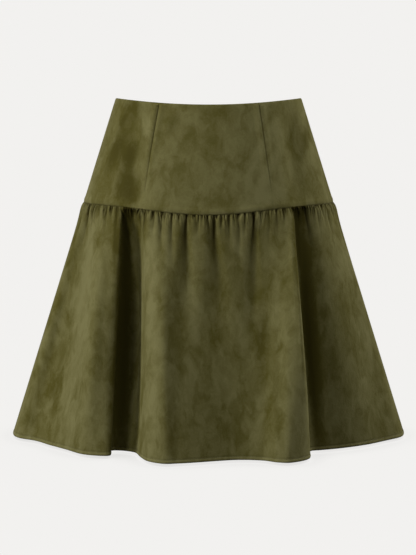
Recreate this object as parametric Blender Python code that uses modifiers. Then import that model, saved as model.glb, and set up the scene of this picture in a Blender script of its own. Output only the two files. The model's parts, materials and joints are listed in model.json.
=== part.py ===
"""Tiered skirt in faux suede, hollow and open at both ends, in the shape it takes when it is worn.

A fitted yoke with darts carries one gathered tier that falls in deep soft folds to a level hem.
+Z is up, the wearer faces -Y and +X is on the right when the skirt is seen from the front.
The origin is the middle of the waist opening, level with the tops of the side seams.

Every panel is a wall on one surface. A place on that surface is a turn and a drop: the turn goes
round in degrees, 0 at the left side seam, 90 at the centre front, 180 at the right side seam and
270 at the centre back, and the drop goes down each tier from 0 at its top to 1 at its bottom.
"""
import math
from collections import namedtuple

import bmesh
import bpy
from mathutils import Matrix, Vector

# ---------------------------------------------------------------- driving sizes, in metres
WALL = 0.0015          # faux suede with its turned edges, as one wall
SEAM_GAP = 0.0003      # between two panels at a seam
LAYER_GAP = 0.0003     # between a panel and what lies on its back
EDGE_STRIP = 0.0030    # straight strip beside each seam, which keeps the gap even through the wall
CENTRE_BACK = 270.0
RIGHT_SIDE = 180.0

Ring = namedtuple("Ring", "half_width front_depth back_depth side_z front_z back_z front_dip back_dip")
WAIST = Ring(0.1388, 0.1000, 0.1040, 0.0000, -0.0092, -0.0120, 2.2, 2.0)
SEAM = Ring(0.1879, 0.1300, 0.1400, -0.1550, -0.1660, -0.1640, 7.0, 4.0)
HEM = Ring(0.2985, 0.2050, 0.2050, -0.5070, -0.5070, -0.5070, 2.0, 2.0)

# Ridges, lips and hollows of the tier, in their order round the skirt. Each runs straight down, seen
# from the front, from its turn at the seam to its turn at the hem. Reach is its distance from the
# axis at the hem, where 1 is the hem ring. A small settle brings a fold to its depth soon below the
# seam, and belly is what it stands out or lies in at mid height beyond that.
Fold = namedtuple("Fold", "name seam_turn hem_turn reach settle belly")
FRONT_FOLDS = (
    Fold("left_side", 0.0, 0.0, 1.000, 1.00, 0.000),
    Fold("left_flange", 17.4, 28.9, 0.677, 0.30, -0.232),
    Fold("left_flank", 23.7, 38.7, 0.787, 0.30, -0.258),
    Fold("left_rise", 28.2, 45.7, 0.879, 0.40, -0.067),
    Fold("left_crest", 33.7, 52.6, 0.993, 1.00, 0.048),
    Fold("left_brow", 41.0, 57.5, 0.992, 1.00, -0.012),
    Fold("left_lip", 47.5, 61.7, 0.953, 1.00, -0.078),
    Fold("left_return", 48.0, 62.1, 0.764, 0.06, -0.072),
    Fold("left_floor", 51.1, 64.9, 0.743, 0.05, -0.106),
    Fold("left_floor_end", 57.4, 68.7, 0.775, 0.05, -0.176),
    Fold("left_wall", 60.0, 71.2, 0.943, 0.20, -0.108),
    Fold("centre_left_brow", 61.9, 73.6, 1.063, 1.00, -0.014),
    Fold("centre_left_crest", 67.7, 78.0, 1.119, 0.60, 0.021),
    Fold("centre_fall", 78.3, 82.3, 1.090, 2.00, -0.023),
    Fold("centre_hollow", 95.9, 97.4, 0.982, 2.00, -0.048),
    Fold("centre_rise", 114.2, 104.6, 1.023, 2.00, -0.049),
    Fold("centre_rise_top", 121.1, 109.0, 1.111, 1.00, -0.032),
    Fold("centre_right_crest", 126.9, 112.4, 1.149, 0.60, 0.028),
    Fold("right_brow", 129.8, 116.5, 1.117, 0.25, 0.091),
    Fold("right_lip", 131.1, 118.7, 1.028, 0.60, 0.157),
    Fold("right_return", 131.7, 120.0, 0.788, 0.04, -0.074),
    Fold("right_floor", 137.0, 123.0, 0.786, 0.03, -0.003),
    Fold("right_rise", 147.0, 131.4, 0.781, 0.25, 0.063),
    Fold("right_flat", 157.3, 140.8, 0.762, 1.00, 0.061),
    Fold("right_swell", 169.7, 155.8, 0.727, 2.00, -0.004),
)
BACK_FOLDS = (
    Fold("right_side", 180.0, 180.0, 1.000, 1.00, 0.000),
    Fold("back_right_flat", 196.0, 209.6, 0.749, 3.00, 0.000),
    Fold("back_right_crest", 213.0, 221.8, 1.045, 1.00, 0.000),
    Fold("back_right_lip", 222.0, 233.6, 0.977, 0.70, 0.000),
    Fold("back_right_return", 224.0, 238.8, 0.803, 0.12, 0.000),
    Fold("back_right_hollow", 229.0, 245.2, 0.770, 0.12, 0.000),
    Fold("back_right_rise", 237.0, 249.2, 0.943, 0.60, 0.000),
    Fold("back_centre_right_crest", 246.0, 255.7, 1.106, 1.00, 0.000),
    Fold("back_centre_hollow", 264.0, 269.0, 0.990, 3.00, 0.000),
    Fold("back_centre_left_crest", 281.0, 281.9, 1.089, 1.00, 0.000),
    Fold("back_left_fall", 291.0, 289.2, 1.011, 1.00, 0.000),
    Fold("back_left_lip", 299.0, 294.4, 0.952, 0.70, 0.000),
    Fold("back_left_return", 302.0, 295.2, 0.816, 0.12, 0.000),
    Fold("back_left_hollow", 309.0, 300.0, 0.765, 0.12, 0.000),
    Fold("back_left_rise", 318.0, 314.0, 0.901, 0.60, 0.000),
    Fold("back_left_crest", 328.0, 328.3, 1.053, 1.00, 0.000),
    Fold("back_left_flat", 344.0, 337.3, 0.732, 3.00, 0.000),
)
STEPS_PER_FOLD = 4
TIER_ROWS = (0.0, 0.006, 0.03, 0.07, 0.14, 0.27, 0.48, 0.74, 1.0)
STRAIGHT_DROP = TIER_ROWS[1]   # the first stretch below the seam, which the seam holds flat

Dart = namedtuple("Dart", "turn tip_drop")
FRONT_DARTS = (Dart(59.6, 0.80), Dart(119.3, 0.80))
BACK_RIGHT_DARTS = (Dart(239.0, 0.80),)
BACK_LEFT_DARTS = (Dart(301.0, 0.80),)
DART_DEPTH = 0.0010
DART_HALF_TURN = 0.9
YOKE_TURN_STEP = 6.5
YOKE_ROWS = (0.0, 0.04, 0.14, 0.32, 0.52, 0.74, 1.0)

TAPE_WIDTH = 0.0120
TAPE_WALL = 0.0010
TAPE_SPLIT = 0.0022    # between the two tapes, where the coil and the slider's neck pass
TAPE_TOP_DROP = 0.03
TAPE_BOTTOM_DROP = 0.975
COIL_WIDTH = 0.0044
COIL_WALL = 0.0014

BACK_YOKE_LENGTH = 0.1560
SLIDER_DROP = 0.078    # middle of the slider, a little below the waist edge
SLIDER_WIDTH = 0.0074
SLIDER_HEIGHT = 0.0092
SLIDER_WALL = 0.0034
NECK_WIDTH = 0.0014
NECK_HEIGHT = 0.0030
NECK_REACH = 0.0038    # of the neck, out from the yoke's outer face
NOTCH_HALF_WIDTH = 0.0010   # by which the two back panels part round the neck
NOTCH_REACH = 0.0020        # of the parted stretch, up and down from the slider's middle
PIN_OFFSET = 0.0024    # of the pull's pin, out from the yoke's outer face
PIN_RADIUS = 0.0005
EYE_RADIUS = 0.0007
PULL_TOP = 0.0024      # from the pin down to the plate, clear of the neck as the pull turns
PULL_LENGTH = 0.0170
PULL_WIDTH = 0.0054
PULL_WALL = 0.0011
ARM_WALL = 0.0008
ARM_RADIUS = 0.0011
ARM_CLEARANCE = 0.0003
ARM_OVERLAP = 0.0012
PULL_LEAN = math.radians(4.8)   # towards the cloth, as it hangs
BEVEL = 0.0005
MERGE = 0.00001

SUEDE_COLOUR = (0.107, 0.101, 0.044)
TAPE_COLOUR = (0.060, 0.056, 0.024)
METAL_COLOUR = (0.250, 0.220, 0.130)


# ---------------------------------------------------------------- the surface of the skirt
def blend(first, last, share):
    return first + (last - first) * share


def between(upper, lower, drop):
    """The ring at a drop between two rings."""
    return Ring(*(blend(a, b, drop) for a, b in zip(upper, lower)))


def ring_point(ring, turn, reach=1.0):
    """A point of a ring, which is higher or lower at its middles than at its sides.

    The reach moves the point to the front or back only.
    """
    angle = math.radians(turn)
    in_front = math.sin(angle) > 0.0
    depth = ring.front_depth if in_front else ring.back_depth
    middle_z = ring.front_z if in_front else ring.back_z
    dip = ring.front_dip if in_front else ring.back_dip
    height = blend(ring.side_z, middle_z, abs(math.sin(angle)) ** dip)
    return Vector((-math.cos(angle) * ring.half_width, -math.sin(angle) * depth * reach, height))


def yoke_point(turn, drop):
    return ring_point(WAIST, turn).lerp(ring_point(SEAM, turn), drop)


def way_along(point_at, turn, drop, step=0.01):
    """The direction of a level line on a surface, towards greater turns."""
    return (point_at(turn + step, drop) - point_at(turn - step, drop)).normalized()


def outward(point_at, turn, drop, step=0.01):
    """The direction square to a surface, away from the wearer."""
    along = way_along(point_at, turn, drop)
    down = point_at(turn, drop + step) - point_at(turn, drop - step)
    return down.cross(along).normalized()


def fold_depth(drop, settle):
    """The share of a fold's full depth that it has at a drop."""
    below = max(0.0, drop - STRAIGHT_DROP) / (1.0 - STRAIGHT_DROP)
    return below * (1.0 + settle) / (below + settle)


def sideways(ring, turn):
    return math.cos(math.radians(turn)) * ring.half_width


def fold_place(fold, drop):
    """Turn and reach of one fold line at a drop, as a vector of like units."""
    across = blend(sideways(SEAM, fold.seam_turn), sideways(HEM, fold.hem_turn), drop)
    turn = math.acos(across / between(SEAM, HEM, drop).half_width)
    if fold.seam_turn >= RIGHT_SIDE:
        turn = 2.0 * math.pi - turn
    reach = blend(1.0, fold.reach, fold_depth(drop, fold.settle))
    return Vector((turn, reach + fold.belly * math.sin(math.pi * drop)))


def smooth_loop(places, steps):
    """A smooth curve through places of one full turn, with equal steps between each two."""
    full_turn = Vector((2.0 * math.pi, 0.0))
    ahead = [place + full_turn for place in places[:2]]
    line = [places[-1] - full_turn] + list(places) + ahead
    spans = [max((b - a).length, 1e-6) ** 0.5 for a, b in zip(line, line[1:])]
    slopes = [None]
    for index in range(1, len(line) - 1):
        before = (line[index] - line[index - 1]) / spans[index - 1]
        after = (line[index + 1] - line[index]) / spans[index]
        weight = spans[index - 1] / (spans[index - 1] + spans[index])
        slopes.append(before.lerp(after, weight))
    curve = []
    for index in range(1, len(places) + 1):
        span = spans[index]
        for step in range(steps):
            t = step / steps
            rise = t * t * (3.0 - 2.0 * t)
            pull_out = t * (1.0 - t) * (1.0 - t) * span
            pull_in = -t * t * (1.0 - t) * span
            point = line[index] * (1.0 - rise) + line[index + 1] * rise
            curve.append(point + slopes[index] * pull_out + slopes[index + 1] * pull_in)
    curve.append(line[len(places) + 1])
    return curve


def tier_ring(drop):
    """All points of the tier at a drop, from the left side seam once round to it again."""
    places = [fold_place(fold, drop) for fold in FRONT_FOLDS + BACK_FOLDS]
    loop = smooth_loop(places, STEPS_PER_FOLD)
    ring = between(SEAM, HEM, drop)
    return [ring_point(ring, math.degrees(turn), reach) for turn, reach in loop]


# ---------------------------------------------------------------- meshes and objects
def new_material(name, colour, roughness, metallic=0.0):
    material = bpy.data.materials.new(name)
    material.use_nodes = True
    shader = material.node_tree.nodes["Principled BSDF"]
    shader.inputs["Base Color"].default_value = (*colour, 1.0)
    shader.inputs["Roughness"].default_value = roughness
    shader.inputs["Metallic"].default_value = metallic
    return material


def add_object(name, mesh, material, collection):
    mesh.materials.append(material)
    mesh.shade_smooth()
    mesh.set_sharp_from_angle(angle=math.radians(35.0))
    item = bpy.data.objects.new(name, mesh)
    collection.objects.link(item)
    return item


def grid_mesh(name, rows):
    """An open surface through rows of points, its faces pointing out from the wearer."""
    build = bmesh.new()
    across = len(rows[0])
    bmesh.ops.create_grid(build, x_segments=across - 1, y_segments=len(rows) - 1, size=1.0)
    build.verts.ensure_lookup_table()
    for index, vertex in enumerate(build.verts):
        vertex.co = rows[index // across][index % across]
    bmesh.ops.reverse_faces(build, faces=build.faces)
    mesh = bpy.data.meshes.new(name)
    build.to_mesh(mesh)
    build.free()
    return mesh


def add_wall(name, rows, wall, material, collection):
    """A wall whose outer face goes through rows of points."""
    item = add_object(name, grid_mesh(name, rows), material, collection)
    solidify = item.modifiers.new("wall", "SOLIDIFY")
    solidify.thickness = wall
    solidify.offset = -1.0
    solidify.use_even_offset = True
    return item


def with_edges(row, start, end):
    """A panel's row between two seams, each given by the way along it and half its gap.

    Each end is half a gap off its seam, with a straight strip beside it.
    """
    start_way, start_gap = start
    end_way, end_gap = end
    first = [row[0] + start_way * offset for offset in (start_gap, start_gap + EDGE_STRIP)]
    last = [row[-1] - end_way * offset for offset in (end_gap + EDGE_STRIP, end_gap)]
    return first + row[1:-1] + last


# ---------------------------------------------------------------- panels
def yoke_turns(first, last, darts):
    """Turns of a yoke panel's columns, even but for three close ones at each dart."""
    stops = [first]
    for dart in darts:
        stops += [dart.turn - DART_HALF_TURN, dart.turn, dart.turn + DART_HALF_TURN]
    stops.append(last)
    turns = [first]
    for start, end in zip(stops, stops[1:]):
        count = max(1, round((end - start) / YOKE_TURN_STEP))
        turns += [blend(start, end, (index + 1) / count) for index in range(count)]
    return turns


def dart_dip(turn, drop, darts):
    """How far a sewn dart draws the cloth in, fading to its tip."""
    for dart in darts:
        if abs(turn - dart.turn) < DART_HALF_TURN / 2.0:
            return DART_DEPTH * max(0.0, 1.0 - drop / dart.tip_drop)
    return 0.0


def back_yoke_rows():
    """Rows of the back panels, with four more where they part round the slider's neck."""
    reach = NOTCH_REACH / BACK_YOKE_LENGTH
    notch = [SLIDER_DROP + step * reach for step in (-2.0, -1.0, 1.0, 2.0)]
    return (0.0, *notch, *YOKE_ROWS[2:])


def half_gap(turn, drop):
    """Half the gap at a seam of the yoke."""
    reach = 1.01 * NOTCH_REACH / BACK_YOKE_LENGTH
    if turn == CENTRE_BACK and abs(drop - SLIDER_DROP) < reach:
        return NOTCH_HALF_WIDTH
    return SEAM_GAP / 2.0


def add_yoke(name, first, last, drops, darts, material, collection):
    rows = []
    for drop in drops:
        row = []
        for turn in yoke_turns(first, last, darts):
            point = yoke_point(turn, drop)
            row.append(point - outward(yoke_point, turn, drop) * dart_dip(turn, drop, darts))
        start = (way_along(yoke_point, first, drop), half_gap(first, drop))
        end = (way_along(yoke_point, last, drop), half_gap(last, drop))
        rows.append(with_edges(row, start, end))
    return add_wall(name, rows, WALL, material, collection)


def add_tiers(material, collection):
    """The front and back tiers, a seam gap below the yoke."""
    front_rows = []
    back_rows = []
    side = len(FRONT_FOLDS) * STEPS_PER_FOLD
    for drop in TIER_ROWS:
        ring = [point - Vector((0.0, 0.0, SEAM_GAP)) for point in tier_ring(drop)]
        left_way = (ring[1] - ring[-2]).normalized()
        right_way = (ring[side + 1] - ring[side - 1]).normalized()
        left = (left_way, SEAM_GAP / 2.0)
        right = (right_way, SEAM_GAP / 2.0)
        front_rows.append(with_edges(ring[:side + 1], left, right))
        back_rows.append(with_edges(ring[side:], right, left))
    add_wall("tier_front", front_rows, WALL, material, collection)
    add_wall("tier_back", back_rows, WALL, material, collection)


# ---------------------------------------------------------------- the closure
def behind_yoke(turn, drop, inset):
    return yoke_point(turn, drop) - outward(yoke_point, turn, drop) * inset


def add_strip(name, near_edge, far_edge, inset, wall, drops, material, collection):
    """A strip on the back of the yoke, between two distances from the centre back."""
    rows = []
    for drop in drops:
        radius = between(WAIST, SEAM, drop).half_width
        near_turn = CENTRE_BACK + math.degrees(math.asin(near_edge / radius))
        far_turn = CENTRE_BACK + math.degrees(math.asin(far_edge / radius))
        turns = (near_turn, (near_turn + far_turn) / 2.0, far_turn)
        rows.append([behind_yoke(turn, drop, inset) for turn in turns])
    return add_wall(name, rows, wall, material, collection)


def add_tapes_and_coil(tape, metal, collection):
    """Two tapes against the back panels, and the closed coil that bridges them on the inside."""
    tape_inset = WALL + LAYER_GAP
    coil_inset = tape_inset + TAPE_WALL + LAYER_GAP
    near = TAPE_SPLIT / 2.0
    far = near + TAPE_WIDTH
    drops = [blend(TAPE_TOP_DROP, TAPE_BOTTOM_DROP, share) for share in (0.0, 0.25, 0.5, 0.75, 1.0)]
    add_strip("zip_tape_right", -far, -near, tape_inset, TAPE_WALL, drops, tape, collection)
    add_strip("zip_tape_left", near, far, tape_inset, TAPE_WALL, drops, tape, collection)
    coil_top = SLIDER_DROP + (SLIDER_HEIGHT / 2.0 + LAYER_GAP) / BACK_YOKE_LENGTH
    coil_drops = [blend(coil_top, TAPE_BOTTOM_DROP, share) for share in (0.0, 0.25, 0.5, 0.75, 1.0)]
    half = COIL_WIDTH / 2.0
    add_strip("zip_coil", -half, half, coil_inset, COIL_WALL, coil_drops, metal, collection)


def closure_frame():
    """Axes at the slider: X along the waist, Y out of the yoke's outer face, Z up the seam."""
    out = outward(yoke_point, CENTRE_BACK, SLIDER_DROP)
    along = Vector((1.0, 0.0, 0.0))
    axes = Matrix((along, out, along.cross(out))).transposed().to_4x4()
    return Matrix.Translation(yoke_point(CENTRE_BACK, SLIDER_DROP)) @ axes


def box_mesh(name, low, high, bevel=0.0):
    build = bmesh.new()
    bmesh.ops.create_cube(build, size=1.0)
    size = [b - a for a, b in zip(low, high)]
    middle = [(a + b) / 2.0 for a, b in zip(low, high)]
    bmesh.ops.scale(build, vec=size, verts=build.verts)
    bmesh.ops.translate(build, vec=middle, verts=build.verts)
    if bevel:
        bmesh.ops.bevel(build, geom=build.edges, offset=bevel, segments=2, profile=0.5, affect="EDGES")
    mesh = bpy.data.meshes.new(name)
    build.to_mesh(mesh)
    build.free()
    return mesh


def rod_mesh(name, radius, length, centre, sides=20):
    """A cylinder along X."""
    build = bmesh.new()
    place = Matrix.Translation(centre) @ Matrix.Rotation(math.pi / 2.0, 4, "Y")
    bmesh.ops.create_cone(build, cap_ends=True, segments=sides, radius1=radius, radius2=radius,
                          depth=length, matrix=place)
    mesh = bpy.data.meshes.new(name)
    build.to_mesh(mesh)
    build.free()
    return mesh


def plate_mesh(name, outline, wall, turned):
    """A flat outline given a thickness on both sides of its plane, then turned into place."""
    curve = bpy.data.curves.new(name, "CURVE")
    curve.dimensions = "2D"
    curve.fill_mode = "BOTH"
    curve.extrude = wall / 2.0
    spline = curve.splines.new("POLY")
    spline.points.add(len(outline) - 1)
    for point, (x, y) in zip(spline.points, outline):
        point.co = (x, y, 0.0, 1.0)
    spline.use_cyclic_u = True
    flat = bpy.data.objects.new(name, curve)
    bpy.context.scene.collection.objects.link(flat)
    depsgraph = bpy.context.evaluated_depsgraph_get()
    mesh = bpy.data.meshes.new_from_object(flat.evaluated_get(depsgraph))
    bpy.data.objects.remove(flat, do_unlink=True)
    build = bmesh.new()
    build.from_mesh(mesh)
    bmesh.ops.remove_doubles(build, verts=build.verts, dist=MERGE)
    bmesh.ops.transform(build, matrix=turned, verts=build.verts)
    build.to_mesh(mesh)
    build.free()
    mesh.materials.clear()
    return mesh


def arc(centre_y, radius, first, last, steps):
    """Points on an arc about (0, centre_y), with its angles in degrees."""
    angles = [math.radians(blend(first, last, step / steps)) for step in range(steps + 1)]
    return [(math.cos(angle) * radius, centre_y + math.sin(angle) * radius) for angle in angles]


def boolean(item, operation, tool):
    modifier = item.modifiers.new(tool.name, "BOOLEAN")
    modifier.operation = operation
    modifier.solver = "EXACT"
    modifier.object = tool


def add_tool(name, mesh, place, collection):
    """A cutter or a piece to join on, kept out of the model itself."""
    tool = bpy.data.objects.new(name, mesh)
    tool.matrix_world = place
    tool.hide_render = True
    tool.display_type = "WIRE"
    collection.objects.link(tool)
    return tool


def add_slider(place, material, collection, tools):
    """The slider's body behind the tapes, and its neck, which comes out through the seam."""
    front = -(WALL + LAYER_GAP + TAPE_WALL + LAYER_GAP)
    back = front - SLIDER_WALL
    half_width = SLIDER_WIDTH / 2.0
    half_height = SLIDER_HEIGHT / 2.0
    body = box_mesh("zip_slider", (-half_width, back, -half_height), (half_width, front, half_height), BEVEL)
    slider = add_object("zip_slider", body, material, collection)
    slider.matrix_world = place
    half_neck = NECK_WIDTH / 2.0
    half_rise = NECK_HEIGHT / 2.0
    low = (-half_neck, (front + back) / 2.0, -half_rise)
    neck = box_mesh("slider_neck", low, (half_neck, NECK_REACH, half_rise))
    boolean(slider, "UNION", add_tool("slider_neck", neck, place, tools))
    eye = rod_mesh("slider_eye", EYE_RADIUS, 2.0 * NECK_WIDTH, (0.0, PIN_OFFSET, 0.0))
    boolean(slider, "DIFFERENCE", add_tool("slider_eye", eye, place, tools))


def add_pull(place, material, collection, tools):
    """The pull: a drop-shaped plate with two arms that hold a pin through the slider's neck."""
    pivot = place @ Matrix.Translation((0.0, PIN_OFFSET, 0.0)) @ Matrix.Rotation(-PULL_LEAN, 4, "X")
    inner = NECK_WIDTH / 2.0 + ARM_CLEARANCE
    outer = inner + ARM_WALL
    end_radius = PULL_WIDTH / 2.0
    upright = Matrix.Rotation(math.pi / 2.0, 4, "X")
    outline = [(-outer, -PULL_TOP)] + arc(end_radius - PULL_LENGTH, end_radius, 180.0, 360.0, 12)
    outline.append((outer, -PULL_TOP))
    pull = add_object("zip_pull", plate_mesh("zip_pull", outline, PULL_WALL, upright), material, collection)
    pull.matrix_world = pivot
    edgeways = Matrix.Rotation(math.pi / 2.0, 4, "Z") @ upright
    half_wall = PULL_WALL / 2.0
    arm_outline = arc(0.0, ARM_RADIUS, 0.0, 180.0, 10)
    arm_outline += [(-half_wall, -PULL_TOP - ARM_OVERLAP), (half_wall, -PULL_TOP - ARM_OVERLAP)]
    for side_name, side in (("left", -1.0), ("right", 1.0)):
        shift = Matrix.Translation((side * (inner + outer) / 2.0, 0.0, 0.0))
        arm = plate_mesh("pull_arm_" + side_name, arm_outline, ARM_WALL, shift @ edgeways)
        boolean(pull, "UNION", add_tool("pull_arm_" + side_name, arm, pivot, tools))
    pin = rod_mesh("pull_pin", PIN_RADIUS, 2.0 * inner + ARM_WALL, (0.0, 0.0, 0.0))
    boolean(pull, "UNION", add_tool("pull_pin", pin, pivot, tools))


def main():
    for item in list(bpy.data.objects):
        bpy.data.objects.remove(item, do_unlink=True)
    skirt = bpy.data.collections.new("tiered_skirt")
    tools = bpy.data.collections.new("cutters")
    bpy.context.scene.collection.children.link(skirt)
    bpy.context.scene.collection.children.link(tools)
    suede = new_material("faux_suede", SUEDE_COLOUR, 0.92)
    tape = new_material("zip_tape_polyester", TAPE_COLOUR, 0.80)
    metal = new_material("painted_zinc", METAL_COLOUR, 0.45, 0.6)

    add_yoke("yoke_front", 0.0, RIGHT_SIDE, YOKE_ROWS, FRONT_DARTS, suede, skirt)
    add_yoke("yoke_back_right", RIGHT_SIDE, CENTRE_BACK, back_yoke_rows(), BACK_RIGHT_DARTS, suede, skirt)
    add_yoke("yoke_back_left", CENTRE_BACK, 360.0, back_yoke_rows(), BACK_LEFT_DARTS, suede, skirt)
    add_tiers(suede, skirt)
    add_tapes_and_coil(tape, metal, skirt)
    place = closure_frame()
    add_slider(place, metal, skirt, tools)
    add_pull(place, metal, skirt, tools)


if __name__ == "__main__":
    main()
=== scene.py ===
"""Tiered skirt in olive faux suede: the finished looks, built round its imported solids.

Every cloth piece is a thin shell on the form of its solid. A place on that form is a turn and a
drop: the turn goes round in degrees, 0 at the left side seam, 90 at the centre front, 180 at the
right side seam and 270 at the centre back, and the drop goes down each tier from 0 to 1.
"""
import json
import math
from collections import namedtuple

import bpy
import numpy as np
from bpy.props import FloatProperty, FloatVectorProperty, IntProperty, PointerProperty
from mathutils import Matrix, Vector


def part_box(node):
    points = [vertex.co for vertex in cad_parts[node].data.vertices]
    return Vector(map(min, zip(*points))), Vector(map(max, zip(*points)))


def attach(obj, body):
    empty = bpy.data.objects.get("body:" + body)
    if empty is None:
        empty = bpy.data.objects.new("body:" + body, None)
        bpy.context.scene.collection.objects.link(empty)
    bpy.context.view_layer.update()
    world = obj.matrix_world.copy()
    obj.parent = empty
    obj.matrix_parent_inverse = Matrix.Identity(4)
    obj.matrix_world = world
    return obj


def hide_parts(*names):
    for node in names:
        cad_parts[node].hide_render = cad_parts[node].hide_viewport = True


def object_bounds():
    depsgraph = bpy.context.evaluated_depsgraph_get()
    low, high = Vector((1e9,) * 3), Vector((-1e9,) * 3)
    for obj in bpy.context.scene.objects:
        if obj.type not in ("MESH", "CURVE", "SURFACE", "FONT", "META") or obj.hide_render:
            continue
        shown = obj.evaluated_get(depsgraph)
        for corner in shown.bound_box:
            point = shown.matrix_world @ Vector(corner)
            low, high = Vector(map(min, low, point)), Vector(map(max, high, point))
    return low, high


bl_info = {
    "name": "Tiered skirt",
    "version": (1, 0, 0),
    "blender": (4, 5, 0),
    "location": "View3D > Sidebar > Skirt",
    "description": "Builds a hollow tiered skirt in faux suede round its solids",
    "category": "Object",
}

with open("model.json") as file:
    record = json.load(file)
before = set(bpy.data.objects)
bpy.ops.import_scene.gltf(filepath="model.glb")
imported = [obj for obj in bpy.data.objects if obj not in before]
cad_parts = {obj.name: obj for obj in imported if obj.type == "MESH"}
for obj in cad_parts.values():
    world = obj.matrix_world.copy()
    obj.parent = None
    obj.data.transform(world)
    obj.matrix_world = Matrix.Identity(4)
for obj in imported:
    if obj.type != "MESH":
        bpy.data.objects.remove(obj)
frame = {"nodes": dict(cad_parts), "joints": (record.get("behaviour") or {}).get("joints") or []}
CAD_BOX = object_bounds()
TAPE_LOW, TAPE_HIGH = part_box("zip_tape_left")
COIL_LOW, COIL_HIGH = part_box("zip_coil")
SKIRT = "skirt"

# ---------------------------------------------------------------- sizes, in metres
Ring = namedtuple("Ring", ("half_width", "front_depth", "back_depth", "side_z", "front_z",
                           "back_z", "front_dip", "back_dip"))
WAIST = Ring(0.1388, 0.1000, 0.1040, 0.0000, -0.0092, -0.0120, 2.2, 2.0)
SEAM = Ring(0.1879, 0.1300, 0.1400, -0.1550, -0.1660, -0.1640, 7.0, 4.0)
HEM = Ring(0.2985, 0.2050, 0.2050, -0.5070, -0.5070, -0.5070, 2.0, 2.0)
STRAIGHT_DROP = 0.006    # of a tier, held flat by the hip seam
CENTRE_BACK = 270.0
HALF_GAP = 0.00015       # half of what parts two pieces at a seam
SIDE_GAP = 0.00003       # and the same at a side seam, which is pressed flat
PANEL_WALL = 0.0015      # of the solids; the tapes and the coil lie behind it, a layer gap apart
LAYER_GAP = 0.0003
TAPE_WALL = 0.0010
WOVEN_WALL = 0.8 * TAPE_WALL
COIL_WALL = 0.0014
LOOP_WIDTH, LOOP_OFFSET = 0.62, 0.19    # of the coil's width
NECK_ROOM, NECK_REACH = 0.0010, 0.0024    # of the parting round the slider's neck, each way
NECK_HEIGHT = frame["joints"][0]["pos_m"][2] - 0.0006
CORNER_ROUND, CORNER_WIDTH, CORNER_HEIGHT = 0.0012, 0.0040, 0.0050
FLOOR_GAP = 0.004        # from the hem down to the floor

TIER_COLUMNS = 960
TOP_ROWS, MIDDLE_ROWS, HEM_ROWS = 22, 18, 10
TOP_SHARE, HEM_SHARE = 0.11, 0.030    # of a tier's drop, which the close rows at its ends take
TOP_CROWDING, HEM_CROWDING = 1.5, 1.2    # how much closer still rows get towards each end
YOKE_ROWS = 84
FRONT_YOKE_COLUMNS, BACK_YOKE_COLUMNS = 380, 190
DART_COLUMNS, DART_REACH = 30, 2.6    # the reach is in degrees, each way

# A line in the cloth's relief, or in how much shade is painted on its nap: how high it stands (or,
# below nought, how deep it lies), how far from an edge its middle is, and how wide it is.
Line = namedtuple("Line", "height place width")
SIDE_ROLL = Line(-0.0006, 0.0, 0.0014)
YOKE_ROLLS = (Line(-0.0008, 0.0, 0.0010), Line(-0.0006, 0.0, 0.0007))    # at its waist and foot
YOKE_FOOT_SWELL = Line(0.0005, 0.005, 0.003)
# Painted shade lines along the yoke's waist and foot, and a painted shadow along the top of the
# tier under the seam.
YOKE_EDGE_SHADES = (Line(0.25, 0.0, 0.0010), Line(0.20, 0.0, 0.0006))
TIER_SEAM_SHADE = Line(0.60, 0.0, 0.0008)
DART_GROOVE, DART_GROOVE_WIDTH = 0.0016, 0.0009
DART_BANKS = (Line(0.0010, 0.0048, 0.0038), Line(0.0014, -0.0052, 0.0042))
# Painted shade down the groove of each dart.
DART_GROOVE_SHADE = Line(0.80, 0.0, 0.0006)
DART_TIP, DART_TIP_WIDTH = Line(0.0008, 1.10, 0.06), 0.006    # its place is in shares of the dart
TAPE_CORD = Line(0.00020, 0.0009, 0.0005)

GATHER_RATIO = 1.4       # of a tier's top as cut to the seam that it is drawn up to
PUFF_DROP = 0.009        # where the tier swells out furthest
GATHER_RISE = 0.0011     # over which gathers get their depth
GATHER_SPREAD = 0.04     # by which a small gather widens for each metre down
PUCKER_SPACINGS, PUCKER_DEPTHS = (0.55, 1.5), (0.5, 1.25)    # shares of what the settings say
PUCKER_LENGTH, PUCKER_MORE = 0.005, 0.014    # of the shortest, and how much longer others get
PUCKER_WIDTHS = (0.0006, 0.0010)
PUCKER_DRIFTS = (-0.25, 0.25)
PLEAT_LENGTH, PLEAT_MORE, PLEAT_KNOTS = 0.006, 0.024, 0.006
CREASE_WANDER, WANDER_WAVE = 0.0012, 0.019
CREASE_SOFTENS = 0.055   # over which a crease turns from a fine line to a soft trough
CREASE_START, CREASE_DEEPENS = 0.6, 0.030    # share of its depth at the seam, and where it grows
# Painted shade at the bottom of each crease: the depth that gives it fully, and over what it fades
# down.
CREASE_SHADE_DEPTH, CREASE_SHADE_FADE = 0.0042, 0.045
GATHER_RIDGE_HIGHLIGHT, TIP_DEPTH, TIP_FADE = 0.55, 0.0007, 0.014    # painted highlight, paler on the ridges between the gathers
HEM_BAND_HIGHLIGHT, HEM_BAND_HIGHLIGHT_EDGE = 0.60, 0.0006                # and a painted highlight on the band of the turned hem
# Marks darker than the first of these spill over into painted shade.
DEEPER_SHADE_BELOW, DEEPER_SHADE_RATE, DEEPER_SHADE_MOST = -0.35, 0.45, 0.65
# How strongly the marks act, partly mottled nap and partly painted light; and how much painted
# shade crease lines get.
NAP_AND_LIGHT_STRENGTH, CREASE_LINE_SHADE = 0.7, 0.95
STREAM_START = 0.03      # down to where the nap's streams have come in fully


def in_units(kind, units, rows):
    """Rows of a table as named tuples, with each column divided by its unit."""
    return tuple(kind(*(value / units.get(name, 1.0) for name, value in zip(kind._fields, row)))
                 for row in rows)


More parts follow.
